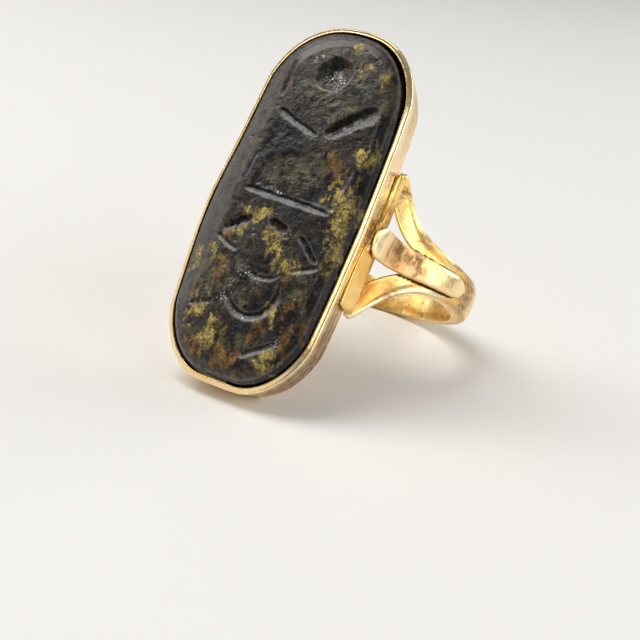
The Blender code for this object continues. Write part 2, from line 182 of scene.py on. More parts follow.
def lofted(rings):
    """Closed skin over a list of closed rings, fanned shut at both ends."""
    count = len(rings[0])
    shape = bmesh.new()
    rows = [[shape.verts.new(p) for p in ring] for ring in rings]
    for row, above in zip(rows, rows[1:]):
        for i in range(count):
            j = (i + 1) % count
            shape.faces.new((row[i], row[j], above[j], above[i]))
    for row, ring, turn in ((rows[0], rings[0], -1), (rows[-1], rings[-1], 1)):
        tip = shape.verts.new([sum(axis) / count for axis in zip(*ring)])
        for i in range(count):
            pair = (row[i], row[(i + 1) % count])
            shape.faces.new((*pair[::turn], tip))
    return sealed(shape)


def worn(shape, amounts, seed):
    """Push the skin in and out a little, by pairs of a wavelength and a height in millimetres."""
    shape.normal_update()
    moves = []
    for vert in shape.verts:
        x, y, z = vert.co
        push = sum(size * wave(x, y, z, scale, seed) for scale, size in amounts)
        moves.append(vert.normal * push)
    for vert, move in zip(shape.verts, moves):
        vert.co += move


def placed(name, data):
    """A new object in the scene."""
    made = bpy.data.objects.new(name, data)
    bpy.context.scene.collection.objects.link(made)
    return made


def finish_piece(node, shape, material, sharp_degrees, layers):
    """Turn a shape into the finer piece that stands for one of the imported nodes.

    Each layer is a rule that gives a value for every point at x, y, z in the ring's own frame.
    """
    name = node + "_fine"
    mesh = bpy.data.meshes.new(name)
    shape.to_mesh(mesh)
    shape.free()
    places = np.empty(len(mesh.vertices) * 3, np.float32)
    mesh.vertices.foreach_get("co", places)
    here = mesh.attributes.new("ring_mm", "FLOAT_VECTOR", "POINT")
    here.data.foreach_set("vector", places)
    x, y, z = places.reshape(-1, 3).T
    for layer, rule in layers.items():
        values = mesh.attributes.new(layer, "FLOAT", "POINT")
        values.data.foreach_set("value", np.asarray(rule(x, y, z), np.float32))
    mesh.transform(TO_WORLD)
    for vert in mesh.vertices:
        vert.co.z = max(vert.co.z, 0.0)
    mesh.materials.append(material)
    mesh.shade_smooth()
    mesh.set_sharp_from_angle(angle=math.radians(sharp_degrees))
    piece = placed(name, mesh)
    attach(piece, "root")
    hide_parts(node)


def side_swell(y):
    return SWELL * np.exp(-((y - SWELL_CENTRE) / SWELL_REACH) ** 2)


def outline(inset, swell, count):
    """The collar's outline drawn in by an inset: a stadium with one slightly flattened end.

    swell is the share of the hidden side's bow that it has.
    """
    half_width = HALF_WIDTH - inset
    semi_axis = END_SEMI_AXIS - inset
    straight = HALF_LENGTH - END_SEMI_AXIS
    quarter = count // 4
    flat_at = HALF_LENGTH - END_FLAT_DEPTH - inset
    ring = []
    for k in range(count):
        side, step = divmod(k, quarter)
        t = (step / quarter) * math.pi / 2.0
        if side % 2 == 1:
            t = math.pi / 2.0 - t
        x = half_width * abs(math.cos(t)) ** (2.0 / END_EXPONENT)
        y = straight * eased(0.0, 0.35, t) + semi_axis * abs(math.sin(t)) ** (2.0 / END_EXPONENT)
        if side in (1, 2):
            x = -x
        if side in (2, 3):
            over = y - flat_at
            y = -(y + flat_at - math.hypot(over, END_FLAT_SOFTNESS)) / 2.0
        if x < 0.0:
            x -= swell * float(side_swell(y))
        ring.append((x, y))
    return ring


def chord_lengths(xs, zs):
    """Length along a profile from its first point to each of them."""
    lengths = [0.0]
    for k in range(len(xs) - 1):
        lengths.append(lengths[-1] + math.hypot(xs[k + 1] - xs[k], zs[k + 1] - zs[k]))
    return lengths


def spline_point(xs, zs, s, zero_knot):
    """Point and outward normal of a profile at a chord length measured from one of its knots."""
    knots = chord_lengths(xs, zs)
    t = s + knots[zero_knot]
    span = 0
    while span < len(xs) - 2 and t > knots[span + 1]:
        span += 1
    step = knots[span + 1] - knots[span]
    u = (t - knots[span]) / step
    result = []
    for values in (xs, zs):
        slopes = []
        for k in (span, span + 1):
            before = max(k - 1, 0)
            after = min(k + 1, len(values) - 1)
            slopes.append((values[after] - values[before]) / (knots[after] - knots[before]))
        if values is xs and span + 1 == len(values) - 1:
            slopes[1] = 0.0
        a = values[span]
        b = values[span + 1]
        m0 = slopes[0] * step
        m1 = slopes[1] * step
        place = (2 * u ** 3 - 3 * u ** 2 + 1) * a + (u ** 3 - 2 * u ** 2 + u) * m0
        place += (-2 * u ** 3 + 3 * u ** 2) * b + (u ** 3 - u ** 2) * m1
        slope = (6 * u ** 2 - 6 * u) * a + (3 * u ** 2 - 4 * u + 1) * m0
        slope += (-6 * u ** 2 + 6 * u) * b + (3 * u ** 2 - 2 * u) * m1
        result.append((place, slope))
    (x, dx), (z, dz) = result
    length = math.hypot(dx, dz)
    return Vector((x, z)), Vector((-dz, dx)) / length


# ---- materials

class Nodes:
    """Short calls for building a material's node tree."""

    def __init__(self, name):
        self.material = bpy.data.materials.new(name)
        self.material.use_nodes = True
        self.tree = self.material.node_tree
        self.shader = self.tree.nodes["Principled BSDF"]
        self.colour = None

    def set(self, node, name, value):
        """Link a socket to an output, or give it a plain value; a colour has three numbers."""
        socket = node.inputs[name]
        if isinstance(value, bpy.types.NodeSocket):
            self.tree.links.new(value, socket)
        elif value is not None:
            socket.default_value = (*value, 1.0) if socket.type == "RGBA" else value

    def add(self, kind, sockets, output=0, **settings):
        node = self.tree.nodes.new("ShaderNode" + kind)
        for name, value in settings.items():
            setattr(node, name, value)
        for name, value in sockets.items():
            self.set(node, name, value)
        return node.outputs[output]

    def layer(self, name, output="Fac"):
        return self.add("Attribute", {}, output, attribute_name=name)

    def mapped(self, vector, scale, location=(0, 0, 0)):
        return self.add("Mapping", {"Vector": vector, "Scale": scale, "Location": location})

    def noise(self, vector, scale, detail=3.0, rough=0.5, distortion=0.0):
        return self.add("TexNoise", {
            "Vector": vector, "Scale": scale, "Detail": detail, "Roughness": rough, "Distortion": distortion,
        })

    def cells(self, vector, scale):
        return self.add("TexVoronoi", {"Vector": vector, "Scale": scale})

    def span(self, value, low, high, out_low=0.0, out_high=1.0):
        """Carry a value from one span over to another, with a soft start and end."""
        return self.add("MapRange", {
            "Value": value, "From Min": low, "From Max": high, "To Min": out_low, "To Max": out_high,
        }, interpolation_type="SMOOTHSTEP")

    def maths(self, operation, a, b):
        return self.add("Math", {0: a, 1: b}, operation=operation, use_clamp=operation != "SUBTRACT")

    def times(self, a, b):
        return self.maths("MULTIPLY", a, b)

    def plus(self, a, b):
        return self.maths("ADD", a, b)

    def mix(self, factor, a, b):
        return self.add("Mix", {0: factor, 6: a, 7: b}, 2, data_type="RGBA")

    def veil(self, factor, tint):
        """Lay a tint over the colour so far."""
        self.colour = self.mix(factor, self.colour, tint)

    def bump(self, height, depth_mm, strength=1.0, normal=None):
        return self.add("Bump", {
            "Height": height, "Distance": depth_mm * MM, "Strength": strength, "Normal": normal,
        })

    def finish(self, **sockets):
        for name, value in sockets.items():
            self.set(self.shader, name.replace("_", " "), value)
        return self.material


GOLD_SPECK = (0.55, 0.3, 0.09)
GOLD_AMBER = (0.9, 0.37, 0.085)
GOLD_PAINTED_HIGHLIGHT = (1.0, 0.94, 0.76)
GOLD_PAINTED_DARK_REFLECTION = (0.27, 0.145, 0.058)
GOLD_GRIME_AND_PAINTED_SHADE = (0.1, 0.048, 0.016)


def gold_material(name, pale, deep, roughness, dents, brushed_scale):
    n = Nodes(name)
    here = n.layer("ring_mm", "Vector")
    broad = n.noise(here, 0.42, 2.0)
    middling = n.noise(here, 1.6, 4.0, 0.6)
    tone = n.plus(n.times(broad, 0.65), n.times(middling, 0.35))
    n.colour = n.mix(n.span(tone, 0.38, 0.62), pale, deep)
    speck = n.span(n.noise(here, 7.0, 3.0, 0.6), 0.62, 0.76)
    n.veil(n.times(speck, 0.2), GOLD_SPECK)

    brushed = n.mapped(here, brushed_scale)
    streaks = n.noise(brushed, 0.55, 5.0, 0.65, 0.4)
    worked = n.noise(here, 1.9, 5.0, 0.62, 0.8)
    amber = n.times(n.layer("amber"), n.span(worked, 0.34, 0.58, 0.65, 1.0))
    n.veil(amber, GOLD_AMBER)
    # painted dark reflection: brown smudges standing in for dark surroundings mirrored in the gold; the same
    # mask also roughens and dents it
    painted_dark_reflection = n.times(n.layer("painted_dark_reflection"), n.span(worked, 0.34, 0.58, 0.55, 1.1))
    painted_dark_reflection = n.times(painted_dark_reflection, n.span(streaks, 0.38, 0.6, 0.45, 1.1))
    # painted highlight: the pale layer lays a cream highlight over the gold
    n.veil(n.layer("pale"), GOLD_PAINTED_HIGHLIGHT)
    n.veil(painted_dark_reflection, GOLD_PAINTED_DARK_REFLECTION)
    # grime and painted shade: the layer darkens seams, crevices and undersides, partly dirt and partly
    # painted shade
    uneven = n.span(n.noise(here, 2.6, 5.0, 0.65), 0.25, 0.75, 0.0, 0.5)
    grime_and_painted_shade = n.span(n.maths("SUBTRACT", n.layer("grime_and_painted_shade"), uneven), 0.0, 0.55)
    n.veil(grime_and_painted_shade, GOLD_GRIME_AND_PAINTED_SHADE)

    rough = n.span(n.noise(here, 2.2, 4.0, 0.6), 0.3, 0.7, roughness, roughness + 0.12)
    rough = n.plus(rough, n.times(grime_and_painted_shade, 0.28))
    rough = n.plus(rough, n.times(painted_dark_reflection, 0.14))
    metal = n.span(grime_and_painted_shade, 0.0, 1.0, 1.0, 0.6)
    normal = n.bump(n.noise(here, 0.9, 2.0), dents)
    normal = n.bump(n.times(worked, painted_dark_reflection), 0.05, 1.0, normal)
    normal = n.bump(n.noise(brushed, 1.0, 4.0, 0.65), 0.005, 1.0, normal)
    normal = n.bump(n.noise(here, 9.0, 2.0, 0.5), 0.0012, 1.0, normal)
    return n.finish(Base_Color=n.colour, Metallic=metal, Roughness=rough, Normal=normal)


STONE_BLACK = (0.0048, 0.0037, 0.004)
STONE_DUSKY = (0.0225, 0.018, 0.017)
STONE_BROWN = (0.036, 0.02, 0.012)
STONE_BLUE = (0.01, 0.011, 0.0165)
STONE_TAN = (0.085, 0.07, 0.048)
STONE_DEEP = (0.007, 0.0055, 0.005)
STONE_BEVEL_SHEEN_DARK = (0.042, 0.034, 0.031)
STONE_BEVEL_SHEEN_LIGHT = (0.125, 0.106, 0.093)
STONE_CRUMB_DARK = (0.05, 0.033, 0.012)
STONE_CRUMB_LIGHT = (0.2, 0.15, 0.06)
STONE_RIDGE_HIGHLIGHT = (0.2, 0.185, 0.17)
STONE_GROOVE_SHADE = (0.02, 0.017, 0.016)
STONE_PAINTED_WALL_LIGHT = (0.285, 0.28, 0.285)
STONE_SHADE = (0.003, 0.002, 0.002)
STONE_PAINTED_GLINT = (0.8, 0.8, 0.82)
# tints of the coloured patches: layer, dark, middle, bright, strength
STONE_TINTS = (
    ("moss", (0.016, 0.015, 0.009), (0.062, 0.056, 0.03), (0.15, 0.13, 0.06), 0.8),
    ("rust", (0.02, 0.0105, 0.006), (0.095, 0.048, 0.014), (0.27, 0.145, 0.038), 0.88),
    ("olive", (0.03, 0.023, 0.0075), (0.17, 0.122, 0.026), (0.66, 0.51, 0.135), 0.94),
)
# dots of painted glint: size of the cells, span of a dot, offset and scale of the cloud they lie in, its span
STONE_PAINTED_GLINT_DOTS = (
    (4.3, (0.34, 0.2), (9.0, 1.0, 3.0), 3.1, (0.47, 0.53)),
    (8.6, (0.3, 0.16), (2.0, 6.0, 1.0), 3.4, (0.46, 0.52)),
)


def stone_material():
    n = Nodes("stone")
    here = n.layer("ring_mm", "Vector")
    round_grain = (1.0, 1.0, 1.0)
    long_grain = (1.15, 0.78, 1.0)

    def cloud(offset, scale, detail=5.0, rough=0.58, distortion=0.5, grain=round_grain):
        return n.noise(n.mapped(here, grain, offset), scale, detail, rough, distortion)

    edge = n.layer("edge")
    cut = n.layer("cut")
    fine = cloud((0, 0, 0), 2.3, 7.0, 0.68)
    dusky = n.span(cloud((3, 1, 0), 0.55, 8.0, 0.62, 0.6, long_grain), 0.42, 0.6)
    n.colour = n.mix(dusky, STONE_BLACK, STONE_DUSKY)
    brownish = n.span(cloud((-8, 2, 5), 0.75, 8.0, 0.66, 0.3, long_grain), 0.49, 0.64, 0.0, 0.8)
    n.veil(brownish, STONE_BROWN)
    bluish = n.span(cloud((6, -7, 1), 0.6, 7.0, 0.62), 0.53, 0.66, 0.0, 0.8)
    n.veil(bluish, STONE_BLUE)
    n.veil(n.span(fine, 0.54, 0.7, 0.0, 0.55), STONE_TAN)
    deeper = n.span(cloud((2, 2, 9), 3.2), 0.52, 0.68, 0.0, 0.8)
    n.veil(deeper, STONE_DEEP)
    # painted reflection: a lighter band on the bevel, strong on the left side and faint on the right
    painted_bevel_sheen = n.mix(n.span(fine, 0.35, 0.65), STONE_BEVEL_SHEEN_DARK, STONE_BEVEL_SHEEN_LIGHT)
    n.veil(n.times(edge, 0.7), painted_bevel_sheen)

    fibre = cloud((7, 3, 0), 1.15, 7.0, 0.64, 0.3, long_grain)
    crumb = cloud((-5, 9, 0), 1.5, 7.0, 0.64, 0.3, long_grain)
    fleck = cloud((15, -3, 0), 5.5, 5.0, 0.66, 0.2)
    speckled = n.plus(n.times(crumb, 0.5), n.times(fleck, 0.5))
    calm = n.span(edge, 0.0, 1.0, 0.0, 0.3)
    for layer, dark, middle, bright, strength in STONE_TINTS:
        ragged = n.maths("SUBTRACT", n.layer(layer), n.span(fibre, 0.34, 0.66, 0.85, 0.0))
        ragged = n.maths("SUBTRACT", ragged, calm)
        mask = n.span(ragged, 0.0, 0.3, 0.0, strength)
        shades = n.mix(n.span(crumb, 0.38, 0.54), dark, middle)
        lit = n.times(n.span(speckled, 0.45, 0.63), n.span(ragged, 0.04, 0.42, 0.22, 1.1))
        n.veil(mask, n.mix(lit, shades, bright))
    scattered = n.span(cloud((21, 0, 4), 1.0, 9.0, 0.72, 0.2, long_grain), 0.54, 0.66)
    n.veil(n.times(scattered, 0.55), n.mix(fine, STONE_CRUMB_DARK, STONE_CRUMB_LIGHT))

    uneven = n.span(cloud((4, -2, 7), 2.8, 6.0, 0.68), 0.38, 0.62)
    # painted highlight on raised crests and groove lips, partly lighter broken edges
    ridge = n.span(n.plus(n.layer("ridge"), n.span(fine, 0.3, 0.7, -0.22, 0.22)), 0.3, 0.95)
    n.veil(n.times(ridge, 0.42), STONE_RIDGE_HIGHLIGHT)
    # painted shade: the carved grooves darker with their depth
    n.veil(n.times(cut, 0.35), STONE_GROOVE_SHADE)
    # painted light: pale grey on the groove walls that face the top of the tablet
    painted_wall_light = n.times(n.layer("painted_wall_light"), n.span(uneven, 0.0, 1.0, 0.5, 1.0))
    n.veil(n.times(painted_wall_light, 0.75), STONE_PAINTED_WALL_LIGHT)
    shade = n.times(n.layer("shade"), n.span(uneven, 0.0, 1.0, 1.0, 0.72))
    n.veil(n.times(shade, 0.97), STONE_SHADE)
    # painted glints: whitish dots standing in for sparkle off small chipped facets
    dots = []
    for size, dot, offset, scale, patch in STONE_PAINTED_GLINT_DOTS:
        dots.append(n.times(n.span(n.cells(here, size), *dot), n.span(cloud(offset, scale, 2), *patch)))
    painted_glint = n.times(n.maths("MAXIMUM", *dots), n.span(n.layer("painted_glint_area"), 0.2, 0.7))
    n.veil(painted_glint, STONE_PAINTED_GLINT)

    rough = n.span(fine, 0.35, 0.68, 0.17, 0.34)
    rough = n.plus(rough, n.times(n.layer("olive"), 0.14))
    rough = n.plus(rough, n.times(edge, 0.08))
    rough = n.maths("SUBTRACT", rough, n.times(cut, 0.06))
    rough = n.plus(rough, n.times(shade, 0.25))
    calmer = n.span(n.maths("MAXIMUM", edge, cut), 0.0, 1.0, 1.0, 0.25)
    grain_bump = cloud((1.0, 5.0, 2.0), 6.0, 5.0, 0.64, 0.0)
    pits = n.span(n.cells(here, 2.6), 0.02, 0.16)
    chips = n.times(cut, n.span(n.noise(here, 5.5, 2.0, 0.5), 0.5, 0.72))
    normal = n.bump(cloud((0.0, 4.0, 4.0), 1.4, 3.0, 0.55, 0.0), 0.07, calmer)
    normal = n.bump(pits, 0.024, 0.6, normal)
    normal = n.bump(grain_bump, 0.03, calmer, normal)
    normal = n.bump(chips, 0.03, 1.0, normal)
    shine = n.span(shade, 0.0, 1.0, 0.38, 0.1)
    # the socket's own value stays in use where a link to it is dropped
    n.set(n.shader, "Specular IOR Level", 0.34)
    return n.finish(
        Base_Color=n.colour, Roughness=rough, Normal=normal, Metallic=0.0, Specular_IOR_Level=shine,
    )


# name, pale and deep colour, roughness, depth of the dents, scale of the brush marks
gold_wall = gold_material("gold_collar", (1.0, 0.82, 0.49), (0.98, 0.7, 0.34), 0.18, 0.03, (5.0, 0.28, 7.0))
gold_shank = gold_material("gold_shank", (0.94, 0.71, 0.3), (0.88, 0.54, 0.165), 0.2, 0.04, (1.2, 5.0, 1.2))
gold_strap = gold_material("gold_strap", (1.0, 0.77, 0.42), (0.98, 0.65, 0.29), 0.23, 0.018, (2.6, 1.0, 2.6))
gold_rail = gold_material("gold_rail", (0.97, 0.68, 0.25), (0.89, 0.52, 0.135), 0.22, 0.035, (4.0, 0.4, 4.0))
stone_look = stone_material()


# ---- stone

# strokes: start x, start y, end x, end y, width, depth, how far the deepest line is pushed aside
STROKES = (
    (-3.75, 10.45, -3.66, 7.55, 0.62, 0.1, -0.3),
    (-3.3, 6.5, 0.4, 5.2, 0.62, 0.15, -0.3),
    (1, 5.4, 4.2, 8.15, 1.36, 0.3, -0.3),
    (-3.6, 3.05, -3.78, 1.05, 0.3, 0.05, 0),
    (-3.45, 0.28, 3.6, -0.02, 0.62, 0.17, -0.28),
    (-3.75, -3.05, -1.9, -1.7, 0.72, 0.22, 0.1),
    (-4.1, -3.62, -2.05, -4.38, 0.46, 0.11, -0.1),
    (-0.45, -1.55, 1.15, -2.1, 0.82, 0.4, 0.05),
    (2.3, -2.15, 4.05, -3.62, 0.42, 0.24, -0.1),
    (2.55, -4.8, 4.4, -3.9, 0.46, 0.12, -0.2),
    (-4, -9, -2.25, -8.36, 0.5, 0.16, 0),
    (1.35, -11.45, 3.7, -9.85, 0.46, 0.13, -0.15),
)
# centre x, centre y, radius, depth
CUP = (-0.25, 10.05, 1.42, 0.52)
# curved strokes: centre x, centre y, radius, start angle, sweep in degrees, width, depth, push
ARCS = (
    (0.42, -6.72, 1.98, 200, 190, 0.66, 0.19, -0.3),
    (0.55, -3.6, 2.15, 226, 88, 0.4, 0.14, 0.1),
)
# shallow sunken fields: corners, depth, how soft the edge is
FIELDS = (
    (((-2.7, 2.75), (-0.3, 3.65), (2.2, 3.75), (3.95, 3.1), (3.6, 0.3), (-3.2, 0.4)), 0.15, 0.22),
    (((4.25, 3.45), (5.6, 3.5), (5.7, 1.75), (4.45, 2.05)), 0.1, 0.14),
)
# spots of painted shade: x, y, half length along x, half length along y and, where it is turned, degrees
PAINTED_SHADE_SPOTS = (
    (4.95, 2.65, 0.65, 0.85), (-3.7, 9.2, 0.35, 1.2), (0.3, -1.85, 0.9, 0.35, -18), (3.2, -2.9, 0.2, 0.9, 48),
    (-1.4, 3.45, 1.7, 0.22, 16), (-2.9, -2.45, 1.1, 0.25, 36), (0.6, -5.2, 1.4, 0.25),
    (1.6, -6.9, 0.35, 0.8, -10), (-3.1, -8.7, 1, 0.2, 20), (-0.6, -6.3, 0.5, 0.9), (0.9, -7.6, 0.6, 0.6),
    (0.2, -4.6, 1.2, 0.4), (-3.2, 4.4, 0.5, 1.2), (-1.6, 4.9, 1, 0.3, -12), (2.9, -5.9, 0.5, 0.6),
)
# rougher, pitted areas, in the same terms
PITTED = (
    (-1.8, 4.9, 1.9, 0.8, 8), (-3.3, 4.3, 0.6, 1.6), (-0.3, -6.4, 2.2, 2), (-3.7, -8.4, 1, 1.2),
    (0.2, 1.9, 1.8, 0.8), (0.2, 8, 1.6, 0.8), (-2.6, -2.4, 1.2, 0.8),
)
# coloured patches, and areas of painted glints along broken edges, in the same terms
PATCHES = {
    "olive": (
        (0.7, 12.4, 0.9, 0.5), (1.9, 10.9, 0.6, 0.45), (3.9, 10.4, 0.45, 0.6), (4.6, 4.6, 1.1, 0.9, 30),
        (4, 1.3, 1.2, 1.3), (4.8, -0.2, 0.9, 1.4, -10), (5.1, -2.4, 0.8, 1.8, -8), (0.3, -2.7, 1, 0.9, 40),
        (1.3, -3.9, 0.7, 1.4, 35), (-1.8, -1.4, 1.1, 0.7, 20), (2.6, -4.4, 0.9, 0.6), (-4.9, -5.9, 0.6, 1.6),
        (-1.6, -10.5, 0.8, 1.5), (3.4, -11.1, 0.8, 1.1), (-3.4, -9.3, 0.7, 1.3), (-2.6, -2.7, 0.8, 0.6),
        (-4, -4.6, 0.6, 1), (2.4, -7.9, 0.5, 0.9, 20),
    ),
    "rust": (
        (-3.5, 8.8, 0.5, 1.2, 8), (2.6, 3.5, 1.2, 0.7, -15), (4.8, -3.4, 0.6, 1.1), (0.4, 11.2, 0.4, 0.5),
        (3.5, -7.2, 0.4, 1.1, -25), (4.2, -9.4, 0.7, 1.3, -10), (0.1, -12, 1.8, 1.1, -8),
        (-2.1, -11.9, 1.3, 1), (1.9, -9.3, 0.5, 1.2, -15), (5.2, -8.2, 0.3, 1.2), (-3.2, -3.1, 0.6, 0.5),
        (-4.2, -8, 0.6, 1.2), (3.4, 2.6, 0.8, 0.6), (-2.7, -6, 0.6, 1.1), (2.6, -5.2, 0.5, 0.7),
    ),
    "moss": (
        (0, 7.5, 1.2, 1), (-4.6, 2.2, 0.5, 0.8), (1.9, 10.9, 1, 0.8), (3.9, 10.4, 0.8, 1),
        (0.6, 8.2, 2.8, 1.9), (-1.5, 11.9, 1.9, 1, 20), (-0.5, 2.1, 2.4, 1.1), (-1, -6.8, 2.1, 2),
        (-3.9, -6.6, 1.2, 2.4), (3.6, -6, 1.4, 1.8), (-4.5, 4.4, 0.9, 2.2), (1.9, 3.3, 1.8, 1),
        (-2.4, -11.2, 1.5, 1.4), (4.4, 9.3, 1, 1.9), (1, -11, 2.2, 1.2), (-2, -3.6, 1.4, 1),
    ),
    "painted_glint_area": (
        (-0.55, -1.35, 0.3, 0.22), (1.25, -2.2, 0.3, 0.4), (-3.1, -2.75, 0.75, 0.16, 38),
        (-1.5, 0.62, 1.2, 0.13, -6), (0, 9.4, 1, 0.8), (-1.45, -7.4, 0.35, 0.85), (-0.7, -5.7, 0.5, 0.35),
        (0.5, -5.95, 0.4, 0.4), (-3.4, -8.85, 0.8, 0.2, 18), (3.75, -9.95, 0.35, 0.35),
        (1.6, -11.3, 0.4, 0.15, 30), (0.6, -8.75, 1.1, 0.16), (4.45, -3.85, 0.22, 0.22),
        (-1.9, 10.9, 0.5, 0.3, 30),
    ),
}


def near_line(x, y, path):
    """Share along a path, signed distance from it, for arrays of places."""
    best = np.full(x.shape, 1e9)
    share = np.zeros(x.shape)
    side = np.zeros(x.shape)
    count = len(path) - 1
    for k, ((x0, y0), (x1, y1)) in enumerate(zip(path, path[1:])):
        dx = x1 - x0
        dy = y1 - y0
        length = math.hypot(dx, dy)
        t = unit(((x - x0) * dx + (y - y0) * dy) / length ** 2)
        away = np.hypot(x - x0 - t * dx, y - y0 - t * dy)
        signed = ((x - x0) * dy - (y - y0) * dx) / length
        closer = away < best
        best = np.where(closer, away, best)
        share = np.where(closer, (k + t) / count, share)
        side = np.where(closer, np.sign(signed), side)
    return share, best * side


def field(x, y, scale, seed, octaves):
    """Layered smooth noise on arrays of places."""
    result = np.zeros(x.shape)
    flat = result.ravel()
    for k, (px, py) in enumerate(zip(x.ravel(), y.ravel())):
        total = 0.0
        size = 1.0
        step = scale
        for _ in range(octaves):
            total += size * noise.noise(Vector((px / step + seed, py / step - seed, seed)))
            size *= 0.5
            step *= 0.5
        flat[k] = total
    return result


def groove_depth(x, y, path, width, depth, push, seed):
    """Depth of one ragged groove that thins out at its ends, at arrays of places."""
    share, away = near_line(x, y, path)
    close = np.abs(away) < width
    result = np.zeros(x.shape)
    if not close.any():
        return result
    sx = x[close]
    sy = y[close]
    t = share[close]
    q = away[close]
    wobble = field(sx, sy, 0.9, seed, 2)
    length = sum(map(math.dist, path, path[1:]))
    from_end = np.minimum(t, 1.0 - t) * length / (0.35 * width + 0.26 * length)
    fade = np.sin(0.5 * math.pi * unit(from_end + 0.02)) ** 0.65
    half = 0.5 * width * fade * (1.0 + 0.24 * wobble)
    q = q / half - push
    low = unit(1.0 - np.abs(q) / np.where(q > 0.0, 1.0 - push, 1.0 + push))
    body = 0.8 * low + 0.2 * low * low * (3.0 - 2.0 * low)
    result[close] = depth * fade * body * (1.0 + 0.18 * field(sx, sy, 0.35, seed + 3.1, 2))
    return result


def arc_path(x, y, radius, start, sweep):
    path = []
    for k in range(25):
        angle = math.radians(start + sweep * k / 24)
        path.append((x + radius * math.cos(angle), y + radius * math.sin(angle)))
    return path


def patch_weight(x, y, spots):
    """How strongly a place belongs to a set of soft oval patches, 0 to 1."""
    weight = np.zeros(x.shape)
    for cx, cy, rx, ry, *turn in spots:
        angle = math.radians(sum(turn))
        u = (x - cx) * math.cos(angle) + (y - cy) * math.sin(angle)
        v = -(x - cx) * math.sin(angle) + (y - cy) * math.cos(angle)
        weight = np.maximum(weight, np.exp(-0.75 * ((u / rx) ** 2 + (v / ry) ** 2)))
    return weight


def outline_distance(x, y, ring):
    """Signed distance into a closed outline and the nearest place on it."""
    best = np.full(x.shape, 1e9)
    near_x = np.zeros(x.shape)
    near_y = np.zeros(x.shape)
    inside = np.zeros(x.shape, bool)
    for (x0, y0), (x1, y1) in zip(ring, ring[1:] + ring[:1]):
        dx = x1 - x0
        dy = y1 - y0
        t = unit(((x - x0) * dx + (y - y0) * dy) / (dx * dx + dy * dy))
        px = x0 + t * dx
        py = y0 + t * dy
        away = (x - px) ** 2 + (y - py) ** 2
        closer = away < best
        best = np.where(closer, away, best)
        near_x = np.where(closer, px, near_x)
        near_y = np.where(closer, py, near_y)
        if dy != 0.0:
            crosses = (y0 > y) != (y1 > y)
            inside ^= crosses & (x < x0 + (y - y0) * dx / dy)
    return np.where(inside, 1.0, -1.0) * np.sqrt(best), near_x, near_y


def blurred(values, reach):
    """Box blur of a grid, twice, along both directions."""
    for _ in range(2):
        for axis in (0, 1):
            total = np.zeros(values.shape)
            for k in range(-reach, reach + 1):
                total += np.roll(values, k, axis)
            values = total / (2 * reach + 1)
    return values


def carved_depth(x, y, lumps):
    """Depth of the strokes, arcs and cup at arrays of places, and of the cup alone."""
    off_x = 0.1 * field(x, y, 0.62, 41.0, 4)
    off_y = 0.1 * field(x, y, 0.62, 57.0, 4)
    cuts = []
    seed = 1.0
    for x0, y0, x1, y1, width, deep, push in STROKES:
        seed += 2.3
        bend = 0.06 * math.sin(seed)
        middle = ((x0 + x1) / 2.0 + bend, (y0 + y1) / 2.0 + bend)
        path = rounded([(x0, y0), middle, (x1, y1)], 3, False)
        cuts.append((path, width, deep, push, seed, 1.0 if deep > 0.2 else 0.4))
    for cx, cy, radius, start, sweep, width, deep, push in ARCS:
        seed += 2.3
        cuts.append((arc_path(cx, cy, radius, start, sweep), width, deep, push, seed, 0.5))
    depth = np.zeros(x.shape)
    for path, width, deep, push, seed, stir in cuts:
        groove = groove_depth(x + stir * off_x, y + stir * off_y, path, width, deep, push, seed)
        depth = np.maximum(depth, groove)
    cx, cy, radius, deep = CUP
    away = np.hypot(x - cx, y - cy) / (radius * (1.0 + 0.1 * lumps))
    cup = deep * unit(1.0 - away ** 2.4) * (0.92 + 0.05 * (y - cy) + 0.22 * lumps)
    return np.maximum(depth, cup), cup


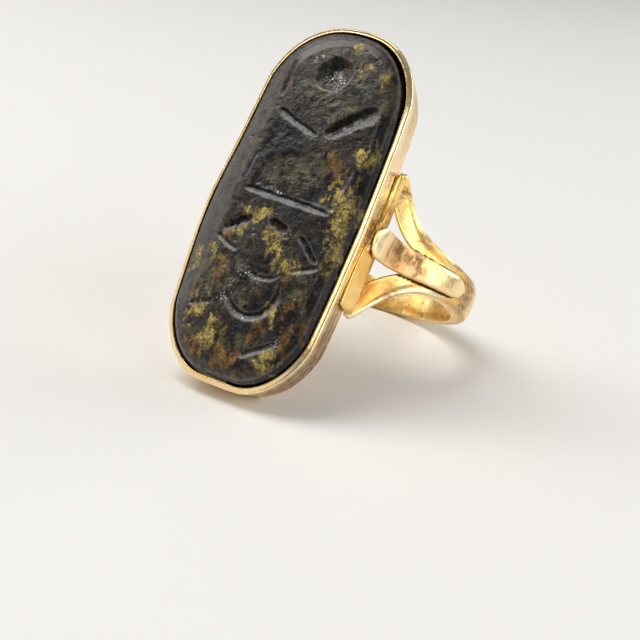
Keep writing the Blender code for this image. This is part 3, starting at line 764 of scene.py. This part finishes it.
def stone_surface(x, y, inset):
    """Height of the stone's face on a grid of places, and the grids that its colours go by."""
    inner_length = HALF_LENGTH - STONE_INSET - STONE_BEVEL
    inner_width = HALF_WIDTH - STONE_INSET - STONE_BEVEL
    slow = field(x, y, 3.4, 4.2, 2)
    bevel = STONE_BEVEL + 0.65 * side_swell(y) * (x < 0.0) + 0.1 * slow
    bevel += 0.32 * ramp(0.5, -3.5, x) * ramp(-10.0, -6.0, y)
    bevel -= 0.38 * ramp(-2.0, 3.5, x)
    share = unit(inset / bevel)
    height = np.interp(share, BEVEL_SHARES, BEVEL_HEIGHTS)
    outward = np.maximum(np.abs(x) / inner_width, np.abs(y) / inner_length)
    height += STONE_CROWN * unit(1.0 - outward ** 2)
    lumpy = ramp(0.8, 1.05, share)
    height += (0.01 + 0.022 * lumpy) * field(x, y, 1.3, 9.7, 5) + 0.035 * slow
    height += 0.05 * patch_weight(x, y, PITTED) * field(x, y, 0.6, 23.0, 3)

    lumps = field(x, y, 0.8, 17.0, 3)
    carved, cup = carved_depth(x, y, lumps)
    depth = carved.copy()
    for corners, deep, soft in FIELDS:
        sunk, _, _ = outline_distance(x, y, corners)
        depth += deep * ramp(-soft, soft, sunk + 0.1 * lumps)
    chips = field(x, y, 0.55, 31.0, 3)
    depth += 0.05 * ramp(0.52, 0.95, chips) * ramp(0.2, 0.6, inset)
    height -= depth * ramp(0.0, 0.25, inset)

    padded = np.where(inset > 0.0, height, STONE_EDGE)
    # ridge: raised crests, which get a painted highlight
    ridge = unit((padded - blurred(padded, 2)) / 0.028)
    down_slope = np.gradient(-carved, STONE_GRID, axis=0) - 0.35 * np.gradient(-carved, STONE_GRID, axis=1)
    shade = unit(down_slope / 0.3) * np.where(cup > 0.02, 0.65, 1.0)
    shade = np.maximum(blurred(shade, 1), 0.88 * patch_weight(x, y, PAINTED_SHADE_SPOTS))
    low_bevel = ramp(1.0, 0.6, inset / bevel + 0.15 * lumps)
    shade = np.maximum(shade, 0.55 * ramp(2.8, 4.6, x) * low_bevel)
    # painted light on the groove walls that face the top of the tablet, most where the cut is shallow
    shallow = unit(1.0 - carved / 0.15)
    painted_wall_light = unit(-down_slope / 0.3) * (0.1 + 0.9 * shallow)
    # edge: where the bevel gets its painted lighter reflection, strong on the left and faint on the right
    edge = ramp(1.34, 0.92, inset / bevel + 0.2 * lumps + 0.55 * ramp(-7.0, -10.5, y))
    edge *= np.interp(x, (-2.5, 0.5, 3.5), (1.0, 0.5, 0.06))
    cut = unit(carved / 0.2)
    return height, {"ridge": ridge, "cut": cut, "shade": shade, "painted_wall_light": blurred(painted_wall_light, 1), "edge": edge}


def stone_face(x, y, height, inset, near_x, near_y):
    """Mesh of the stone's face: the grid inside the outline, its border pulled onto the outline."""
    valid = inset > 0.0
    height = np.where(valid, height, STONE_EDGE)
    across = np.where(valid, x, near_x)
    along = np.where(valid, y, near_y)
    cell = valid[:-1, :-1] | valid[1:, :-1] | valid[:-1, 1:] | valid[1:, 1:]
    used = np.zeros(x.shape, bool)
    for rows in (slice(None, -1), slice(1, None)):
        for columns in (slice(None, -1), slice(1, None)):
            used[rows, columns] |= cell
    shape = bmesh.new()
    verts = {}
    for r, c in zip(*np.nonzero(used)):
        verts[r, c] = shape.verts.new((across[r, c], along[r, c], height[r, c]))
    for r, c in zip(*np.nonzero(cell)):
        shape.faces.new((verts[r, c], verts[r, c + 1], verts[r + 1, c + 1], verts[r + 1, c]))
    bmesh.ops.remove_doubles(shape, verts=[v for v in shape.verts if v.is_boundary], dist=0.012)
    return shape


def close_stone(shape):
    """Carry the face's border down to a flat back, a level at a time."""
    for level, swell, pull in STONE_SIDE_LEVELS:
        base = outline(STONE_INSET + 0.02, swell, STONE_OUTLINE_POINTS)
        rim = [e for e in shape.edges if e.is_boundary]
        grown = bmesh.ops.extrude_edge_only(shape, edges=rim)["geom"]
        low = [v for v in grown if isinstance(v, bmesh.types.BMVert)]
        low_x, low_y = np.array([v.co.xy for v in low]).T
        _, to_x, to_y = outline_distance(low_x, low_y, base)
        for k, v in enumerate(low):
            v.co.x += (to_x[k] - v.co.x) * pull
            v.co.y += (to_y[k] - v.co.y) * pull
            v.co.z = level
    # the visible side reaches out a little further, but less so at its upper end
    for v in shape.verts:
        right = eased(1.0, 5.0, v.co.x)
        v.co.x += right * (0.15 - 0.28 * eased(6.0, 10.5, v.co.y))
        v.co.y -= 0.08 * eased(-8.0, -12.0, v.co.y) * eased(-1.0, 3.0, v.co.x)
    bmesh.ops.holes_fill(shape, edges=[e for e in shape.edges if e.is_boundary], sides=0)
    bmesh.ops.recalc_face_normals(shape, faces=shape.faces)


def make_stone():
    xs = np.arange(*STONE_SPAN_X, STONE_GRID)
    ys = np.arange(*STONE_SPAN_Y, STONE_GRID)
    x, y = np.meshgrid(xs, ys)
    inset, near_x, near_y = outline_distance(x, y, outline(STONE_INSET, 1.0, STONE_OUTLINE_POINTS))
    height, grids = stone_surface(x, y, inset)
    shape = stone_face(x, y, height, inset, near_x, near_y)
    close_stone(shape)

    def nearest(values, marks):
        return np.clip(np.round((values - marks[0]) / STONE_GRID).astype(int), 0, len(marks) - 1)

    def sampled(grid):
        """Rule that reads a grid on the face and gives 0 below it."""
        return lambda x, y, z: np.where(z > 0.12, grid[nearest(y, ys), nearest(x, xs)], 0.0)

    layers = {layer: sampled(grid) for layer, grid in grids.items()}
    for layer, spots in PATCHES.items():
        layers[layer] = lambda x, y, z, spots=spots: patch_weight(x, y, spots)
    finish_piece("carved_stone", shape, stone_look, 70, layers)


# ---- collar

def spots_on_gold(spots):
    """Rule for soft spots on gold, used for painted dark reflections, an amber tint and painted highlights:
    x, y, z, half sizes along each and strength.

    The spots are set on one side of the ring, and the other side has them fainter.
    """
    def rule(x, y, z):
        weight = np.zeros(len(x))
        for cx, cy, cz, rx, ry, rz, strength in spots:
            away = ((np.abs(x) - cx) / rx) ** 2 + ((y - cy) / ry) ** 2 + ((z - cz) / rz) ** 2
            weight = np.maximum(weight, strength * np.exp(-0.8 * away ** 1.5))
        return weight * np.where(x < 0.0, 0.6, 1.0)
    return rule


# section of the collar, from the back plate up the outside, over the rim and down the inside
COLLAR_PROFILE = (
    (0.66, -3.05), (0.52, -3.04), (0.42, -2.96), (0.39, -2.8), (0.29, -2.1), (0.185, -1.4),
    (0.105, -0.86), (0.055, -0.6), (0.012, -0.5), (0.0, -0.42), (0.0, -0.31), (0.015, -0.235),
    (0.055, -0.185), (0.09, -0.165), (0.13, -0.15), (0.27, -0.045), (0.31, -0.012), (0.35, 0.005),
    (0.395, 0.0), (0.425, -0.03), (0.44, -0.11), (0.45, -0.9), (0.45, -1.7),
)


def make_collar():
    rings = []
    for inset, height in rounded(COLLAR_PROFILE, 1, False):
        swell = eased(-2.3, -0.5, height)
        rim = eased(-0.9, -0.2, height)
        ring = []
        for x, y in outline(inset, swell, COLLAR_OUTLINE_POINTS):
            uneven = wave(x, y, 0.0, 2.1, 5.0) + 0.5 * wave(x, y, 0.0, 0.9, 2.0)
            lift = 0.022 * uneven * rim
            bulge = 0.016 * wave(x, y, height, 3.0, 8.0) + 0.01 * rim * wave(x, y, height * 4.0, 0.8, 1.0)
            length = math.hypot(x, y)
            ring.append((x + bulge * x / length, y + bulge * y / length, height + lift))
        rings.append(ring)
    inner_wall = outline(INNER_WALL_INSET, 1.0, 240)

    # grime and painted shade: a dark seat round the stone, a darker foot by the back plate and a band over
    # the rail
    def grime_and_painted_shade(x, y, z):
        inset, _, _ = outline_distance(x, y, inner_wall)
        # the wall under the swell leans in, so the dark seat ends higher up on that side
        lowest = np.where(x < 0.0, -0.9, -2.0)
        inner = ramp(0.0, 0.1, inset) * ramp(-0.03, -0.16, z)
        inner *= ramp(-0.15, 0.15, z - lowest)
        base = 0.42 * ramp(-2.5, -2.9, z) * ramp(-3.03, -2.96, z)
        by_rail = 0.55 * np.exp(-((y - 1.3) / 0.8) ** 2) * ramp(-1.2, -2.1, z)
        return unit(np.maximum(np.maximum(base, by_rail), inner))

    # painted highlight on the wall beside the rail
    def pale(x, y, z):
        beside_rail = ramp(0.4, 1.8, y) * ramp(5.3, 4.1, y)
        return beside_rail * ramp(4.0, 5.0, x) * ramp(-0.35, -0.9, z)

    # spots of painted dark reflection on the collar's wall
    painted_dark_reflection = spots_on_gold((
        (5.9, 8.8, -1.8, 1.5, 2.2, 1, 0.5), (5.9, -8.4, -1.9, 1.5, 3, 1.3, 1.2),
        (4.6, -11.4, -1.9, 2.6, 2.6, 1.3, 1.3), (2, 13.8, -1.8, 3, 1.5, 1, 0.5),
    ))
    layers = {"grime_and_painted_shade": grime_and_painted_shade, "painted_dark_reflection": painted_dark_reflection, "pale": pale}
    finish_piece("bezel_collar", lofted(rings), gold_wall, 45, layers)


# ---- shank

# skin point and normal, thickness, inner and outer edge, share of the dish, shift off centre
Station = namedtuple("Station", "point normal thickness inner outer dished shift")


def shank_stations():
    """Stations from the right rail round the foot to the left rail, as one strand sees them."""
    full = chord_lengths(SKIN_X[1:], SKIN_Z[1:])[-1]
    crotch = FORK_REACH * math.log(FORK_SPREAD / FORK_CLOSE)
    marks = []
    for k in range(SHOULDER_STATIONS + 1):
        marks.append(SHOULDER_START + (full - SHOULDER_START) * (k / SHOULDER_STATIONS) ** 1.2)
    nearest = min(range(len(marks)), key=lambda k: abs(marks[k] - crotch))
    marks[nearest] = crotch
    right = []
    for s in marks:
        point, normal = spline_point(SKIN_X, SKIN_Z, s, 1)
        reach = math.hypot(point.x, point.y - HOOP_CENTRE)
        thickness = max(STRAND_THICKNESS, reach - HOLE_RADIUS)
        thickness = STRAND_THICKNESS + (thickness - STRAND_THICKNESS) * eased(1.4, 5.0, s)
        outer = SHANK_HALF_WIDTH + FLARE * math.exp(-(max(s, 0.0) / FLARE_REACH) ** FLARE_POWER)
        outer -= 0.1 * eased(0.1, SHOULDER_START, s)
        inner = max(FORK_SPREAD * math.exp(-s / FORK_REACH) - FORK_CLOSE, 0.0)
        if s >= crotch - 1e-6:
            inner = 0.0
        dished = 1.0 - eased(4.6, 9.0, s)
        shift = FORK_OFFSET + (SHANK_OFFSET - FORK_OFFSET) * eased(1.5, 4.8, s)
        right.append(Station(point, normal, thickness, inner, outer, dished, shift))
    bottom = []
    for k in range(1, FOOT_STATIONS):
        angle = -math.pi * k / FOOT_STATIONS
        low = math.sin(-angle) ** 1.5
        radius = SIDE_RADIUS + (FOOT_RADIUS - SIDE_RADIUS) * low
        normal = Vector((math.cos(angle), math.sin(angle)))
        point = normal * radius + Vector((0.0, HOOP_CENTRE))
        width = SHANK_HALF_WIDTH + (FOOT_HALF_WIDTH - SHANK_HALF_WIDTH) * low
        shift = SHANK_OFFSET * (1.0 - low)
        bottom.append(Station(point, normal, radius - HOLE_RADIUS, 0.0, width, 0.0, shift))
    left = []
    for station in reversed(right):
        point = Vector((-station.point.x, station.point.y))
        normal = Vector((-station.normal.x, station.normal.y))
        left.append(station._replace(point=point, normal=normal))
    return right + bottom + left


def strand_section(thickness, inner, outer, dished):
    """Half section of the shank, from its inner edge over the top and back underneath."""
    width = outer - inner
    lip = min(LIP_WIDTH, width * 0.4)
    free = eased(0.0, 0.5, inner)
    edge = 0.1 * free
    # distance from the middle, height where the strand is dished, height where it is plain
    marks = (
        (inner, -edge, -edge),
        (inner + 0.03, -0.03 * free, 0.0),
        (inner + 0.1, -0.02 * free, 0.0),
        (inner + (width - lip) * 0.35, -DISH_DEPTH * 0.85, -0.01),
        (inner + (width - lip) * 0.72, -DISH_DEPTH, -0.03),
        (outer - lip * 1.45, -DISH_DEPTH * 0.6, -0.08),
        (outer - lip * 1.08, LIP_HEIGHT * 0.1, -0.11),
        (outer - lip * 0.75, LIP_HEIGHT * 0.8, -0.14),
        (outer - lip * 0.5, LIP_HEIGHT * 0.85, -0.2),
        (outer - lip * 0.22, LIP_HEIGHT * 0.3, -0.3),
        (outer + 0.01, -thickness * 0.3, -thickness * 0.52),
        (outer + 0.02, -thickness * 0.65, -thickness * 0.75),
        (outer - 0.08, -thickness, -thickness + 0.02),
        (inner + 0.16, -thickness, -thickness),
        (inner, -thickness + edge, -thickness),
    )
    path = [(y, high * dished + low * (1.0 - dished)) for y, high, low in marks]
    return rounded(path, 1, False)


def strap_drift(s):
    """How far the strap's middle has wandered sideways at a length along it."""
    return STRAP_DRIFT * np.sin(math.pi * (0.12 + 0.86 * s / STRAP_LENGTH)) ** 0.7


def strap_edge_nearness(z, y):
    """1 right beside the strap's long edges and 0 a little way off."""
    marks = [STRAP_LENGTH * k / 60 for k in range(61)]
    levels = [-spline_point(STRAP_X, STRAP_Z, s, 0)[0].y for s in marks]
    s = np.interp(-z, levels, marks)
    half = np.array([strap_half_width(v) for v in marks])
    away = np.abs(np.abs(y - strap_drift(s)) - np.interp(s, marks, half))
    foot = levels[-1]
    along = ramp(3.0, 4.4, s) * ramp(foot + 0.05, foot - 0.15, -z)
    return ramp(0.24, 0.06, away) * along


def shank_mesh(stations):
    shape = bmesh.new()
    for side in SIDES:
        rows = []
        for point, normal, thickness, inner, outer, dished, shift in stations:
            row = []
            for y, height in strand_section(thickness, inner, outer, dished):
                place = point + normal * height
                row.append(shape.verts.new((place.x, side * y + shift, place.y)))
            rows.append(row)
        for r, (here, there) in enumerate(zip(rows, rows[1:])):
            for i in range(len(here) - 1):
                shape.faces.new((here[i], here[i + 1], there[i + 1], there[i]))
            if max(stations[r].inner, stations[r + 1].inner) > 0.0:
                shape.faces.new((here[-1], here[0], there[0], there[-1]))
        for row in (rows[0], rows[-1]):
            shape.faces.new(row)
    return sealed(shape)


def make_shank():
    stations = shank_stations()
    shape = shank_mesh(stations)
    worn(shape, ((4.0, 0.03), (1.5, 0.014), (0.6, 0.006)), 3.0)
    shoulder = stations[:SHOULDER_STATIONS]
    levels = [-station.point.y for station in shoulder]
    edges = [station.outer for station in shoulder]
    shifts = [station.shift for station in shoulder]

    def from_edge(y, z):
        """How far a place on a shoulder lies inside the shank's outer edge."""
        return np.interp(-z, levels, edges) - np.abs(y - np.interp(-z, levels, shifts))

    # grime and painted shade: the seam at the rail, thin lines beside the strap's edges and the inside of the
    # hoop
    def grime_and_painted_shade(x, y, z):
        seam = ramp(-4.7, -3.7, z) * ramp(5.3, 4.2, np.abs(y))
        reach = np.hypot(np.abs(x), z - HOOP_CENTRE)
        by_strap = strap_edge_nearness(z, y) * ramp(9.6, 9.9, reach)
        inside = 0.3 * ramp(9.5, 9.2, reach)
        return unit(np.maximum(np.maximum(0.6 * seam, by_strap), inside))

    # spots of painted dark reflection on the strands and the hoop's end
    painted_dark_reflection = spots_on_gold((
        (6.3, 4.3, -4.3, 0.9, 0.8, 0.9, 0.85), (8.1, 2.1, -6.9, 0.9, 0.8, 0.9, 0.75),
        (7.3, -2.6, -5.9, 1, 0.9, 0.8, 0.65), (10.6, 0.2, -12.2, 1.1, 1.8, 1.5, 1),
        (8, 0, -20, 2.5, 1.6, 2, 0.45),
    ))
    amber_spots = spots_on_gold(((6.5, -3.9, -4.3, 1.2, 1.6, 1.4, 1.4), (7.4, -2.9, -5.8, 0.9, 0.8, 0.8, 0.7)))

    def amber(x, y, z):
        return amber_spots(x, y, z) * ramp(0.35, 0.6, from_edge(y, z))

    # painted highlight along the lip of the lower strand
    def pale(x, y, z):
        low_strand = ramp(-0.8, -1.3, y) * ramp(-9.5, -8.0, z)
        return 0.4 * low_strand * ramp(0.58, 0.38, from_edge(y, z)) * (x > 0.0)

    layers = {"grime_and_painted_shade": grime_and_painted_shade, "painted_dark_reflection": painted_dark_reflection, "amber": amber, "pale": pale}
    finish_piece("split_shank", shape, gold_shank, 38, layers)


# ---- rails

def rail_section(y, rise):
    """Section of the rail, from the collar's wall over the ridge and back underneath."""
    top = RAIL_TOP + rise * eased(RAIL_RISE_REACH, -RAIL_RISE_REACH, y)
    top += 0.05 * wave(0.0, y, 0.0, 1.3, 6.0)
    ridge = RAIL_RIDGE + (top - RAIL_TOP) * 0.2
    wall_at_top = HALF_WIDTH + top * WALL_TAPER / WALL_HEIGHT
    wall_at_base = HALF_WIDTH - WALL_TAPER
    return (
        (wall_at_top - 0.05, top), (wall_at_top + 0.04, top - 0.01), (wall_at_top + 0.13, top - 0.08),
        (RAIL_OUT - 0.12, ridge + 0.12), (RAIL_OUT - 0.03, ridge - 0.12), (RAIL_OUT, ridge - 0.4),
        (RAIL_OUT, RAIL_BOTTOM + 0.28), (RAIL_OUT - 0.06, RAIL_BOTTOM + 0.08),
        (RAIL_OUT - 0.22, RAIL_BOTTOM), (RAIL_IN + 0.14, RAIL_BOTTOM), (RAIL_IN, RAIL_BOTTOM + 0.1),
        (RAIL_IN + 0.02, -3.0), (wall_at_base - 0.03, RAIL_MIDDLE),
    )


def blob(shape, centre, radii, seed):
    """A small lump of solder."""
    made = bmesh.ops.create_icosphere(shape, subdivisions=3, radius=1.0)["verts"]
    for vert in made:
        size = 1.0 + 0.3 * wave(vert.co.x, vert.co.y, vert.co.z, 0.9, seed)
        vert.co = Vector(centre) + Vector([vert.co[k] * radii[k] * size for k in range(3)])


def make_rail(side):
    middle_x = RAIL_OUT - 0.22
    rise = RAIL_RISE if side > 0 else 0.0
    rings = []
    for k in range(RAIL_STATIONS + 1):
        y = RAIL_START + (RAIL_END - RAIL_START) * k / RAIL_STATIONS
        end = min(y - RAIL_START, RAIL_END - y) / RAIL_END_ROUND
        size = 1.0 if end >= 1.0 else 0.25 + 0.75 * math.sqrt(max(0.0, 1.0 - (1.0 - end) ** 2))
        ring = []
        for x, z in rounded(rail_section(y, rise), 1, True):
            height = RAIL_MIDDLE + (z - RAIL_MIDDLE) * size
            ring.append((side * (middle_x + (x - middle_x) * size), y, height))
        rings.append(ring)
    shape = lofted(rings)
    worn(shape, ((2.2, 0.035), (0.9, 0.02), (0.4, 0.008)), 11.0 * side)
    draw = random.Random(5 if side > 0 else 6)
    # solder along the foot of the rail, and three lumps beside the strap
    for _ in range(RAIL_LUMPS):
        y = draw.choice((-1.0, 1.0)) * draw.uniform(2.7, 5.2)
        size = draw.uniform(0.1, 0.2)
        centre = (side * draw.uniform(5.92, 6.12), y, draw.uniform(-3.66, -3.44))
        blob(shape, centre, (size, size * draw.uniform(1.0, 2.2), size), draw.uniform(0.0, 9.0))
    for y, height in ((1.02, -1.98), (0.72, -1.86), (-0.95, -1.62)):
        size = draw.uniform(0.13, 0.19)
        blob(shape, (side * 6.24, y, height), (size, size * 1.5, size * 1.3), draw.uniform(0.0, 9.0))

    # grime and painted shade: darker underneath and beside the strap
    def grime_and_painted_shade(x, y, z):
        under = 0.45 * ramp(-2.75, -3.35, z)
        by_strap = ramp(1.5, 1.0, np.abs(y - 0.1)) * 0.5
        return unit(np.maximum(under, by_strap))

    # spots of painted dark reflection on the rail
    painted_dark_reflection = spots_on_gold(((6.4, 1.9, -2.9, 0.9, 0.9, 0.7, 0.8), (6.4, -1.6, -3.2, 0.9, 0.8, 0.4, 0.65)))
    layers = {"grime_and_painted_shade": grime_and_painted_shade, "painted_dark_reflection": painted_dark_reflection}
    finish_piece("side_rail_" + SIDES[side], shape, gold_rail, 50, layers)


# ---- straps

def strap_half_width(s):
    """Half the strap's width at a length along it, drawn in at the root and round at the foot."""
    width = STRAP_HALF_WIDTH - STRAP_TAPER * max(s - 1.4, 0.0)
    near = s / 0.8
    if near < 1.0:
        width *= 0.56 + 0.44 * math.sin(math.pi / 2.0 * max(near, 0.0))
    far = (STRAP_LENGTH - s) / 1.25
    if far < 1.0:
        width *= 0.12 + 0.88 * math.sqrt(max(0.0, 1.0 - (1.0 - far) ** 2))
    return width


def make_strap(side):
    rings = []
    for k in range(STRAP_STATIONS + 1):
        share = k / STRAP_STATIONS
        s = STRAP_LENGTH * (share - 0.55 * math.sin(2.0 * math.pi * share) / (2.0 * math.pi))
        point, normal = spline_point(STRAP_X, STRAP_Z, s, 0)
        thick = STRAP_THICKNESS - 0.14 * eased(STRAP_LENGTH - 1.5, STRAP_LENGTH, s)
        thick -= 0.22 * eased(1.0, 0.0, s)
        hollow = 0.07 * eased(1.5, 2.3, s) * eased(5.2, 4.0, s)
        half = strap_half_width(s) * (1.0 + 0.02 * wave(0.0, s, 0.0, 1.1, 4.0))
        drift = float(strap_drift(s))
        edge = min(0.12, half * 0.4)
        right = [
            (half - edge * 0.4, 0.0),
            (half, thick * 0.35),
            (half - edge * 0.2, thick * 0.8),
            (half - edge, thick * 0.98),
            (half * 0.55, thick + 0.03 - hollow * 0.7),
        ]
        left = [(-y, height) for y, height in reversed(right)]
        section = left[-1:] + right + [(0.0, thick + 0.04 - hollow)] + left[:-1]
        ring = []
        for y, height in rounded(section, 2, True):
            place = point + normal * height
            ring.append((side * place.x, y + drift, place.y))
        rings.append(ring)
    shape = lofted(rings)
    worn(shape, ((2.4, 0.04), (1.0, 0.02), (0.4, 0.007)), 7.0 * side)

    # grime and painted shade: darker at the strap's root by the collar
    def grime_and_painted_shade(x, y, z):
        return 0.4 * ramp(6.5, 6.3, np.abs(x))

    layers = {
        "grime_and_painted_shade": grime_and_painted_shade,
        # painted dark reflection across the strap's middle
        "painted_dark_reflection": spots_on_gold((
            (6.9, 0.45, -4.55, 1.2, 0.75, 0.8, 1.3), (7.3, -0.2, -5.3, 1.4, 1.1, 1, 0.8),
            (7.9, -0.2, -6.25, 1.3, 0.9, 0.75, 1.3),
        )),
        "amber": spots_on_gold(((7.2, -0.65, -4.9, 1.2, 0.55, 0.9, 0.8),)),
        # painted highlight on the strap's root
        "pale": spots_on_gold(((6.45, 0.1, -2.6, 0.9, 1.6, 1.1, 0.28),)),
    }
    finish_piece("centre_strap_" + SIDES[side], shape, gold_strap, 50, layers)


make_stone()
make_collar()
make_shank()
for shoulder in SIDES:
    make_rail(shoulder)
    make_strap(shoulder)


# ---- floor, lights and camera

FLOOR_HALF_SIZE = 1.6
RING_MIDDLE = Vector((0.0, -0.002, 0.012))


def make_floor():
    n = Nodes("floor")
    n.finish(Base_Color=(0.88, 0.87, 0.85), Roughness=0.65)
    mesh = bpy.data.meshes.new("floor")
    size = FLOOR_HALF_SIZE
    corners = [(-size, -size, 0), (size, -size, 0), (size, size, 0), (-size, size, 0)]
    mesh.from_pydata(corners, [], [(0, 1, 2, 3)])
    mesh.materials.append(n.material)
    floor = placed("floor", mesh)


def soft_light(name, place, size, power, colour=(1.0, 1.0, 1.0)):
    """A soft box that looks at the ring."""
    data = bpy.data.lights.new(name, "AREA")
    data.shape = "RECTANGLE"
    data.size = size[0]
    data.size_y = size[1]
    data.energy = power
    data.color = colour
    lamp = placed(name, data)
    lamp.location = place
    lamp.rotation_euler = (RING_MIDDLE - Vector(place)).to_track_quat("-Z", "Y").to_euler()


def make_sky(level):
    world = bpy.data.worlds.new("studio")
    world.use_nodes = True
    back = world.node_tree.nodes["Background"]
    back.inputs["Color"].default_value = (1.0, 0.99, 0.975, 1.0)
    back.inputs["Strength"].default_value = level
    bpy.context.scene.world = world


CAMERA_AZIMUTH = math.radians(27.6)
CAMERA_ELEVATION = math.radians(21.4)
CAMERA_ROLL = math.radians(7.85)
CAMERA_DISTANCE = 0.093
CAMERA_LENS = 73.1
SENSOR_WIDTH = 36.0
CAMERA_AIM = Vector((0.0042, -0.007, 0.0056))


def make_camera():
    level = math.cos(CAMERA_ELEVATION)
    away = Vector((
        math.sin(CAMERA_AZIMUTH) * level, -math.cos(CAMERA_AZIMUTH) * level, math.sin(CAMERA_ELEVATION),
    ))
    data = bpy.data.cameras.new("camera")
    data.sensor_width = SENSOR_WIDTH
    data.lens = CAMERA_LENS
    data.clip_start = 0.001
    camera = placed("camera", data)
    facing = (-away).to_track_quat("-Z", "Y").to_matrix().to_4x4()
    place = Matrix.Translation(CAMERA_AIM + away * CAMERA_DISTANCE)
    camera.matrix_world = place @ facing @ Matrix.Rotation(CAMERA_ROLL, 4, "Z")
    bpy.context.scene.camera = camera


make_floor()
make_sky(0.22)
# name, place, size, power and, where it isn't white, colour
soft_light("top_softbox", (-0.2, -0.05, 0.355), (0.2, 0.34), 1.2, (1.0, 0.98, 0.95))
soft_light("left_softbox", (-0.34, -0.09, 0.12), (0.28, 0.13), 0.22)
soft_light("right_softbox", (0.33, -0.08, 0.15), (0.3, 0.26), 0.48)
soft_light("back_softbox", (0.25, 0.285, 0.165), (0.42, 0.17), 0.65)
bpy.context.scene.view_settings.view_transform = "Standard"
make_camera()
